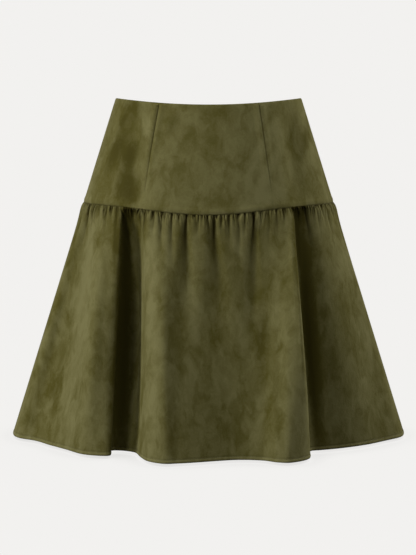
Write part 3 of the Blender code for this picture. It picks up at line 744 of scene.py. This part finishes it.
# ---------------------------------------------------------------- repeated pieces
def new_tree(name, sizes_in):
    """A geometry tree that takes a path, a material and named sizes, its inputs and its end."""
    tree = bpy.data.node_groups.new(name, "GeometryNodeTree")
    tree.interface.new_socket("Path", in_out="INPUT", socket_type="NodeSocketGeometry")
    tree.interface.new_socket("Pieces", in_out="OUTPUT", socket_type="NodeSocketGeometry")
    tree.interface.new_socket("Material", in_out="INPUT", socket_type="NodeSocketMaterial")
    for size in sizes_in:
        tree.interface.new_socket(size, in_out="INPUT", socket_type="NodeSocketFloat")
    return tree, add_node(tree, "NodeGroupInput"), tree.nodes.new("NodeGroupOutput").inputs[0]


def vector(tree, **axes):
    return add_node(tree, "ShaderNodeCombineXYZ", axes)[0]


def loop_of(tree, radius, sides):
    return add_node(tree, "GeometryNodeCurvePrimitiveCircle", {
        "Resolution": sides, "Radius": radius})[0]


def wire_on(tree, curve, thickness, sides, caps=False):
    """A round wire along a curve."""
    ring = loop_of(tree, calc(tree, "MULTIPLY", thickness, 0.5), sides)
    return add_node(tree, "GeometryNodeCurveToMesh", {
        "Curve": curve, "Profile Curve": ring, "Fill Caps": caps})[0]


def path_run(tree):
    """The way that the path runs at each of its points."""
    return add_node(tree, "GeometryNodeInputTangent")[0]


def turn_to(tree, way, axis, pivot="AUTO", start=(0.0, 0.0, 0.0)):
    """A rotation that turns an axis to a way, from where it starts."""
    return add_node(tree, "FunctionNodeAlignRotationToVector", {
        "Rotation": start, "Vector": way}, axis=axis, pivot_axis=pivot)[0]


def set_along(tree, given, piece, turned):
    """A copy of a piece at every pitch of the path."""
    curve = add_node(tree, "GeometryNodeMeshToCurve", {"Mesh": given["Path"]})[0]
    even = add_node(tree, "GeometryNodeResampleCurve", {"Curve": curve, "Length": given["Pitch"]},
                    mode="LENGTH")[0]
    return add_node(tree, "GeometryNodeInstanceOnPoints", {
        "Points": even, "Instance": piece, "Rotation": turned})[0]


def finish_tree(tree, given, end, instances):
    """Close a tree: instances made real, shaded smooth and given their material."""
    real = add_node(tree, "GeometryNodeRealizeInstances", {"Geometry": instances})[0]
    smooth = add_node(tree, "GeometryNodeSetShadeSmooth", {"Geometry": real})[0]
    painted = {"Geometry": smooth, "Material": given["Material"]}
    feed(tree, end, add_node(tree, "GeometryNodeSetMaterial", painted)[0])
    return tree


def stitch_tree():
    """A row of stitches: short arched threads whose ends dip into the cloth."""
    tree, given, end = new_tree("stitch_row", ("Pitch", "Length", "Thread"))
    half = calc(tree, "MULTIPLY", given["Length"], 0.5)
    back = calc(tree, "MULTIPLY", half, -1.0)
    sunk = calc(tree, "MULTIPLY", given["Thread"], -0.8)
    arch = add_node(tree, "GeometryNodeCurveQuadraticBezier", {
        "Resolution": 4, "Start": vector(tree, X=back, Z=sunk),
        "Middle": vector(tree, Z=given["Thread"]), "End": vector(tree, X=half, Z=sunk)})[0]
    thread = wire_on(tree, arch, given["Thread"], 6, caps=True)
    outward = add_node(tree, "GeometryNodeInputNamedAttribute", {"Name": "outward"},
                       data_type="FLOAT_VECTOR")[0]
    turned = turn_to(tree, outward, "Z", "X", start=turn_to(tree, path_run(tree), "X"))
    return finish_tree(tree, given, end, set_along(tree, given, thread, turned))


def coil_tree():
    """The closed zip coil: flattened loops of filament, by turns to the left and to the right."""
    tree, given, end = new_tree("coil_turns",
                                ("Pitch", "Loop width", "Loop depth", "Offset", "Wire"))
    round_loop = loop_of(tree, calc(tree, "MULTIPLY", given["Loop width"], 0.5), 12)
    flatten = calc(tree, "DIVIDE", given["Loop depth"], given["Loop width"])
    loop = add_node(tree, "GeometryNodeTransform", {
        "Geometry": round_loop, "Scale": vector(tree, X=1.0, Y=flatten, Z=1.0)})[0]
    turned = turn_to(tree, path_run(tree), "Z", "X")
    loops = set_along(tree, given, wire_on(tree, loop, given["Wire"], 5), turned)
    odd = calc(tree, "MODULO", add_node(tree, "GeometryNodeInputIndex")[0], 2.0)
    side = calc(tree, "MULTIPLY_ADD", odd, 2.0, -1.0)
    moved = add_node(tree, "GeometryNodeTranslateInstances", {
        "Instances": loops, "Local Space": False,
        "Translation": vector(tree, X=calc(tree, "MULTIPLY", side, given["Offset"]))})[0]
    return finish_tree(tree, given, end, moved)


def path_object(name, lines, outward=None):
    """Open paths through rows of points, with the way out of the cloth at every point."""
    mesh = bpy.data.meshes.new(name)
    ends = np.cumsum([0] + [len(line) for line in lines])
    edges = [(place, place + 1) for first, end in zip(ends, ends[1:])
             for place in range(first, end - 1)]
    mesh.from_pydata(np.concatenate(lines), edges, [])
    if outward is not None:
        data = mesh.attributes.new("outward", "FLOAT_VECTOR", "POINT")
        data.data.foreach_set("vector", np.concatenate(outward).astype(np.float32).ravel())
    return link_object(name, mesh)


def run_tree(item, tree, values):
    """Turn a path into what a tree makes along it, as a plain mesh."""
    modifier = item.modifiers.new(tree.name, "NODES")
    modifier.node_group = tree
    for socket in tree.interface.items_tree:
        if socket.in_out == "INPUT" and socket.name in values:
            modifier[socket.identifier] = values[socket.name]
    return apply_modifiers(item)


# ---------------------------------------------------------------- cloth relief
def furrow(across, round_off=0.45):
    """A crease line: sharp at its bottom and soft at its shoulders, 1 deep at its middle."""
    return np.exp(round_off - np.sqrt(across * across + round_off ** 2))


def gather_relief(along, down, placed, seed_shift):
    """How far gathers move the cloth out, how deep they fold it in, and how much shade is painted
    in them.
    """
    puff = sizes().gather_puff * (down / PUFF_DROP) * np.exp(1.0 - down / PUFF_DROP)
    rise = 1.0 - np.exp(-down / GATHER_RISE)
    random = np.random.default_rng(sizes().seed + seed_shift)
    place = float(along.min())
    end = float(along.max())
    folded = np.zeros_like(along)
    lines = np.zeros_like(along)
    while place < end:
        place += sizes().pucker_spacing * random.uniform(*PUCKER_SPACINGS)
        reach = PUCKER_LENGTH + PUCKER_MORE * random.random() ** 2.0
        depth = sizes().pucker_depth * random.uniform(*PUCKER_DEPTHS)
        width = random.uniform(*PUCKER_WIDTHS)
        drift = random.uniform(*PUCKER_DRIFTS)
        across = (along - place - drift * down) / (width + GATHER_SPREAD * down)
        fold = furrow(across) * rise * bell(down / reach)
        folded += depth * fold
        # Painted shade at the bottom of each pucker.
        lines += 0.9 * fold ** 2.0
    softness = unit(down / CREASE_SOFTENS)
    # Every crease wanders in a phase of its own.
    for crease, start in placed:
        wander = CREASE_WANDER * np.sin(down / WANDER_WAVE + 300.0 * start) * unit(down / 0.02)
        across = along - start - crease.drift * down - wander
        across = across / (crease.width + crease.spread * down)
        grow = blend(1.0, CREASE_START, np.exp(-down / CREASE_DEEPENS))
        reach = rise * bell((down / crease.length) ** 1.5)
        folded += crease.depth * blend(furrow(across), bell(across / 1.2), softness) * grow * reach
        # Painted shade down the middle of each crease, fading down.
        lines += (crease.depth / CREASE_SHADE_DEPTH * furrow(across) ** 3.0 * reach
                  * np.exp(-down / CREASE_SHADE_FADE))
    return puff, folded, unit(lines)


def gather_fade(along, down, seed_shift):
    """How strongly the finest pleats show as bumps and painted shade, from 1 at the seam to nothing
    a little way below it.
    """
    random = np.random.default_rng(sizes().seed + 20 + seed_shift)
    knots = np.arange(float(along.min()) - 0.01, float(along.max()) + 0.01, PLEAT_KNOTS)
    reach = PLEAT_LENGTH + PLEAT_MORE * random.random(len(knots)) ** 1.4
    return bell(down / np.interp(along, knots, reach)) * unit(down / 0.0008)


def hem_relief(up):
    """The groove, swell and rolled edge of the turned hem, from distances up from the edge."""
    turn = sizes().hem_turn
    lines = (Line(-0.0005, turn, 0.0007), Line(0.0004, 0.5 * turn, 0.38 * turn),
             Line(-0.0003, 0.0, 0.0006))
    return sum(line_relief(line, up) for line in lines)


def paint_nap_and_light(turns, drops, along, down, spots):
    """How much paler or darker the nap is made at every point of a grid: mottled nap, painted light
    and painted shade.
    """
    marks = np.zeros_like(along)
    for spot in spots:
        row = int(np.argmin(np.abs(drops - spot.drop)))
        middle = np.interp(spot.turn, turns, along[row])
        across = (along - middle) / spot.half_width
        beside = (down - np.interp(spot.drop, drops, down.mean(axis=1))) / spot.half_height
        marks += spot.shade * np.exp(-(across ** 2 + beside ** 2) ** 1.5)
    return marks


def nap_shades(marks, painted_shade):
    """Shades of the nap: the marks, partly mottled nap and partly painted light, and painted shade.
    """
    deeper_shade = np.clip(DEEPER_SHADE_RATE * (DEEPER_SHADE_BELOW - marks), 0.0, DEEPER_SHADE_MOST)
    # The brushed shade holds painted light and painted shade as well as mottled nap.
    return {"brushed": NAP_AND_LIGHT_STRENGTH * marks, "painted_shade": unit(painted_shade + deeper_shade)}


def part_sides(grid, gaps=(SIDE_GAP, SIDE_GAP)):
    """Draw the two side edges of a panel in from their seams, each by its gap."""
    for column, beside, gap in ((0, 1, gaps[0]), (-1, -2, gaps[1])):
        way = grid[:, beside] - grid[:, column]
        way /= np.linalg.norm(way, axis=1, keepdims=True)
        grid[:, column] += way * np.reshape(gap, (-1, 1))


def neck_gap(drops):
    """Half the gap down the centre back, which opens round the slider's neck."""
    heights = blend(WAIST.back_z, SEAM.back_z, drops)
    return HALF_GAP + (NECK_ROOM - HALF_GAP) * np.exp(-((heights - NECK_HEIGHT) / NECK_REACH) ** 6)


# ---------------------------------------------------------------- pieces
def tier_form(tier):
    """The outer face of a tier panel, as rows of points, with its UV map and its shades."""
    stations = even_stations(tier.first, tier.last, TIER_COLUMNS)
    drops = np.concatenate([
        TOP_SHARE * np.linspace(0.0, 1.0, TOP_ROWS) ** TOP_CROWDING,
        np.linspace(TOP_SHARE, 1.0 - HEM_SHARE, MIDDLE_ROWS + 2)[1:-1],
        1.0 - HEM_SHARE * np.linspace(1.0, 0.0, HEM_ROWS) ** HEM_CROWDING])
    grid = np.stack([tier_line(drop, stations) for drop in drops])
    grid[:, :, 2] -= 2.0 * HALF_GAP
    seam = lengths_along(grid[0])
    turns = np.degrees(smooth_loop(fold_places(0.0), stations)[:, 0])
    down = lengths_down(grid)
    up = down[-1] - down
    along = np.broadcast_to(seam, down.shape)
    placed = [(crease, float(np.interp(crease.turn, turns, seam))) for crease in tier.creases]
    puff, folded, lines = gather_relief(along, down, placed, tier.seed_shift)
    grid = raised(grid, puff - folded + hem_relief(up) + line_relief(SIDE_ROLL, from_sides(grid)))
    part_sides(grid)
    marks = paint_nap_and_light(turns, drops, along, down, tier.brushes)
    # Painted highlight on the ridges between the gathers near the seam.
    marks += GATHER_RIDGE_HIGHLIGHT * np.exp(-folded / TIP_DEPTH) * np.exp(-down / TIP_FADE)
    # Painted highlight on the band of the turned hem.
    marks += HEM_BAND_HIGHLIGHT * unit((1.1 * sizes().hem_turn - up) / HEM_BAND_HIGHLIGHT_EDGE)
    # Painted shade: crease lines, a shadow line under the seam and a line in the hem's stitching
    # groove.
    hem_groove_shade = Line(0.20, sizes().hem_turn, 0.0008)
    painted_shade = CREASE_LINE_SHADE * lines + line_relief(TIER_SEAM_SHADE, down) + line_relief(hem_groove_shade, up)
    shades = {**nap_shades(marks, painted_shade), "hung": unit(down / STREAM_START),
              "gathered": gather_fade(along, down, tier.seed_shift)}
    return grid, np.stack([along * GATHER_RATIO, -down], axis=-1), shades


def hem_line(grid, ends=8):
    """The stitching line of a tier panel, and the way out of the cloth along it."""
    down = lengths_down(grid)
    up = (down[-1] - down)[::-1]
    return [np.array([[np.interp(sizes().hem_turn, up[:, column], values[::-1, column, axis])
                       for axis in range(3)] for column in range(ends, grid.shape[1] - ends)])
            for values in (grid, surface_normals(grid))]


def add_hem_stitches():
    """One row of stitches along the turned hem, in the groove that they draw."""
    lines, outward = zip(*(hem_line(tier_form(tier)[0]) for tier in TIERS))
    return run_tree(path_object("hem_stitches", lines, outward), stitch_tree(), {
        "Pitch": sizes().stitch_pitch, "Length": sizes().stitch_length,
        "Thread": sizes().thread_width, "Material": sewing_thread()})


def distance_from_line(along, turns, line):
    """Distance of every point of a grid from a line that crosses its rows at the given turns."""
    middle = np.array([np.interp(turn, turns, row) for turn, row in zip(line, along)])
    return along - middle[:, None]


def yoke_relief(grid, turns, drops, yoke):
    """How far the yoke stands out from its plain form, and where shade is painted on its nap."""
    down = lengths_down(grid)
    up = down[-1] - down
    along = lengths_across(grid)
    relief = line_relief(SIDE_ROLL, from_sides(grid)) + line_relief(YOKE_FOOT_SWELL, up)
    painted_shade = np.zeros_like(along)
    # Rolled edges at the waist and the foot, each with a line of painted shade.
    for roll, edge_shade, distances in zip(YOKE_ROLLS, YOKE_EDGE_SHADES, (down, up)):
        relief += line_relief(roll, distances)
        painted_shade += line_relief(edge_shade, distances)
    for hollow in yoke.hollows:
        across = distance_from_line(along, turns, blend(hollow.waist_turn, hollow.seam_turn, drops))
        hold = (np.sin(math.pi * unit(drops) ** 1.3) ** 0.7)[:, None]
        relief -= hollow.depth * hold * bell(across / hollow.width)
    for dart in yoke.darts:
        share = (drops - dart.top_drop) / (dart.tip_drop - dart.top_drop)
        share = np.clip(share, 0.0, 1.3)
        across = distance_from_line(along, turns, blend(dart.turn, dart.tip_turn, share))
        share = share[:, None]
        hold = (drops >= dart.top_drop * 0.6)[:, None] * unit(1.0 - share) ** 0.35
        groove = DART_GROOVE * np.exp(-np.abs(across) / DART_GROOVE_WIDTH)
        relief += hold * (sum(line_relief(bank, across) for bank in DART_BANKS) - groove)
        relief += line_relief(DART_TIP, share) * bell(across / DART_TIP_WIDTH)
        # Painted shade down the dart's groove.
        painted_shade += hold * line_relief(DART_GROOVE_SHADE, across)
    return relief, unit(painted_shade)


def dart_turns(yoke):
    """Turns across a yoke panel, closer together where a dart runs."""
    fine = [np.linspace(dart.turn - DART_REACH, dart.turn + DART_REACH, DART_COLUMNS)
            for dart in yoke.darts]
    even = [turn for turn in np.linspace(yoke.first, yoke.last, yoke.columns)
            if all(abs(turn - dart.turn) > DART_REACH + 0.1 for dart in yoke.darts)]
    return np.sort(np.concatenate([even, *fine]))


def add_yoke(yoke):
    """One fitted yoke panel, between two seams."""
    turns = dart_turns(yoke)
    # Rows lie closer together towards the waist and the foot.
    steps = np.linspace(0.0, 1.0, YOKE_ROWS)
    drops = 0.7 * (0.5 - 0.5 * np.cos(math.pi * steps)) + 0.3 * steps
    grid = blend(ring_points(WAIST, turns)[None], ring_points(SEAM, turns)[None],
                 drops[:, None, None])
    relief, painted_shade = yoke_relief(grid, turns, drops, yoke)
    along = lengths_across(grid)
    down = lengths_down(grid)
    grid = raised(grid, relief)
    # The turned corners at the side seams are a little round.
    corner = bell(from_sides(grid) / CORNER_WIDTH) * np.exp(-down / CORNER_HEIGHT)
    grid[:, :, 2] -= CORNER_ROUND * corner
    part_sides(grid, [neck_gap(drops) if turn == CENTRE_BACK else SIDE_GAP
                      for turn in (yoke.first, yoke.last)])
    # Marks on the yoke: mottled nap, painted light and painted shade.
    shades = nap_shades(paint_nap_and_light(turns, drops, along, down, yoke.brushes), painted_shade)
    item = grid_object(yoke.node + "_cloth", grid, np.stack([along, -down], axis=-1), shades)
    return thicken(item, sizes().cloth_wall)


def behind_yoke(edges, drops, inset):
    """Rows of points inside the centre back, at distances across from its middle."""
    rows = []
    for drop in drops:
        half_width = blend(WAIST.half_width, SEAM.half_width, drop)
        turns = CENTRE_BACK + np.degrees(np.arcsin(edges / half_width))
        rows.append(blend(ring_points(WAIST, turns), ring_points(SEAM, turns), drop))
    grid = np.stack(rows)
    return raised(grid, np.full(grid.shape[:2], -inset))


def back_drops(box_high, box_low, count):
    """Drops down the centre back, from the top of a solid's box to its foot."""
    first, last = ((corner.z - WAIST.back_z) / (SEAM.back_z - WAIST.back_z)
                   for corner in (box_high, box_low))
    return np.linspace(first, last, count)


def add_tape(name, sign):
    """One zip tape, flat against the cloth, with a cord woven into both its edges."""
    edges = np.sort(sign * np.linspace(-TAPE_HIGH.x, -TAPE_LOW.x, 25))
    grid = behind_yoke(edges, back_drops(TAPE_HIGH, TAPE_LOW, 60), PANEL_WALL + LAYER_GAP)
    grid = raised(grid, line_relief(TAPE_CORD, from_sides(grid)) - TAPE_CORD.height)
    uv = np.stack([np.broadcast_to(edges, grid.shape[:2]), -lengths_down(grid)], axis=-1)
    item = thicken(grid_object(name, grid, uv), WOVEN_WALL)
    for face in ("outer", "inner"):
        item.data.materials.append(shared_material("zip_tape_woven", zip_tape_weave))
    return item


def add_coil():
    """The coil, closed from just below the slider to the foot of the tapes."""
    inset = PANEL_WALL + TAPE_WALL + 2.0 * LAYER_GAP + COIL_WALL / 2.0
    # The points beside each middle one only tell which way the cloth faces there.
    line = behind_yoke(np.array((-0.001, 0.0, 0.001)), back_drops(COIL_HIGH, COIL_LOW, 40), inset)
    width = COIL_HIGH.x - COIL_LOW.x
    wire = sizes().coil_wire
    return run_tree(path_object("zip_coil_turns", [line[:, 1]]), coil_tree(), {
        "Pitch": sizes().coil_pitch, "Loop width": LOOP_WIDTH * width - wire,
        "Loop depth": COIL_WALL - wire, "Offset": LOOP_OFFSET * width, "Wire": wire,
        "Material": coil_nylon()})


def stand_for(item, node):
    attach(item, SKIRT)
    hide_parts(node)


def finish_cloth(item, node):
    item.data.materials.append(shared_material("faux_suede_brushed", faux_suede))
    item.data.materials.append(shared_material("suede_backing_knitted", suede_backing))
    stand_for(item, node)


# ---------------------------------------------------------------- the add-on
class SKIRT_OT_yokes(bpy.types.Operator):
    """Build the front yoke and the two back yokes"""
    bl_idname = "skirt.yokes"
    bl_label = "Yokes"

    def execute(self, context):
        for yoke in YOKES:
            finish_cloth(add_yoke(yoke), yoke.node)
        return {"FINISHED"}


class SKIRT_OT_tiers(bpy.types.Operator):
    """Build the gathered front and back tiers"""
    bl_idname = "skirt.tiers"
    bl_label = "Tiers"

    def execute(self, context):
        for tier in TIERS:
            item = thicken(grid_object(tier.node + "_cloth", *tier_form(tier)), sizes().cloth_wall)
            finish_cloth(item, tier.node)
        return {"FINISHED"}


class SKIRT_OT_hem_stitches(bpy.types.Operator):
    """Sew the turned hem"""
    bl_idname = "skirt.hem_stitches"
    bl_label = "Hem stitches"

    def execute(self, context):
        stitches = add_hem_stitches()
        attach(stitches, SKIRT)
        return {"FINISHED"}


class SKIRT_OT_zip(bpy.types.Operator):
    """Fit the concealed zip: woven tapes, a nylon coil, and enamel on the slider and its pull"""
    bl_idname = "skirt.zip"
    bl_label = "Concealed zip"

    def execute(self, context):
        for side, sign in (("right", -1.0), ("left", 1.0)):
            tape = add_tape("zip_tape_" + side + "_woven", sign)
            stand_for(tape, "zip_tape_" + side)
        stand_for(add_coil(), "zip_coil")
        enamel = slider_enamel()
        for node in ("zip_slider", "zip_pull"):
            for place in frame["nodes"][node].material_slots:
                place.material = enamel
        return {"FINISHED"}


class SKIRT_OT_stage(bpy.types.Operator):
    """Set the floor, the lights and the camera"""
    bl_idname = "skirt.stage"
    bl_label = "Stage"

    def execute(self, context):
        add_floor()
        add_air(context.scene)
        for softbox in SOFTBOXES:
            add_light(softbox)
        add_camera(context.scene)
        context.scene.view_settings.view_transform = "Standard"
        return {"FINISHED"}


def add_floor():
    bpy.ops.mesh.primitive_circle_add(vertices=96, radius=14.0, fill_type="NGON",
                                      location=(0.0, 0.0, CAD_BOX[0][2] - FLOOR_GAP))
    floor = bpy.context.object
    floor.name = "studio_floor"
    floor.data.materials.append(stage_material())
    floor.visible_diffuse = floor.visible_glossy = False


def add_air(scene):
    """The pale background, which lights nothing."""
    world = bpy.data.worlds.new("studio_air")
    scene.world = world
    world.use_nodes = True
    tree = world.node_tree
    feed(tree, tree.nodes["Background"].inputs["Color"], colours().floor)
    world.cycles_visibility.diffuse = world.cycles_visibility.glossy = False


def add_light(softbox):
    light = bpy.data.lights.new(softbox.name, "AREA")
    light.shape = "RECTANGLE"
    light.size, light.size_y = softbox.size
    light.energy = softbox.power
    light.spread = math.radians(softbox.spread)
    item = link_object(softbox.name, light)
    item.location = softbox.place
    way = Vector(softbox.target) - Vector(softbox.place)
    item.rotation_euler = way.to_track_quat("-Z", "Y").to_euler()


def add_camera(scene):
    camera = bpy.data.cameras.new("camera")
    camera.lens = CAMERA_LENS
    item = link_object("camera", camera)
    item.location = CAMERA_PLACE
    item.rotation_euler.x = math.radians(CAMERA_TILT)
    scene.camera = item


class SKIRT_PT_panel(bpy.types.Panel):
    """Lists the skirt's settings and its pieces"""
    bl_idname = "SKIRT_PT_panel"
    bl_label = "Tiered skirt"
    bl_space_type = "VIEW_3D"
    bl_region_type = "UI"
    bl_category = "Skirt"

    def draw(self, context):
        for group in (context.scene.skirt_sizes, context.scene.skirt_colours):
            for name in group.__annotations__:
                self.layout.prop(group, name)
        for operator in OPERATORS:
            self.layout.operator(operator.bl_idname)


OPERATORS = (SKIRT_OT_yokes, SKIRT_OT_tiers, SKIRT_OT_hem_stitches, SKIRT_OT_zip, SKIRT_OT_stage)
CLASSES = (SkirtSizes, SkirtColours, *OPERATORS, SKIRT_PT_panel)


def register():
    for item in CLASSES:
        bpy.utils.register_class(item)
    bpy.types.Scene.skirt_sizes = PointerProperty(type=SkirtSizes)
    bpy.types.Scene.skirt_colours = PointerProperty(type=SkirtColours)


def unregister():
    del bpy.types.Scene.skirt_sizes
    del bpy.types.Scene.skirt_colours
    for item in reversed(CLASSES):
        bpy.utils.unregister_class(item)


def main():
    register()
    bpy.ops.skirt.yokes()
    bpy.ops.skirt.tiers()
    bpy.ops.skirt.hem_stitches()
    bpy.ops.skirt.zip()
    bpy.ops.skirt.stage()


if __name__ == "__main__":
    main()
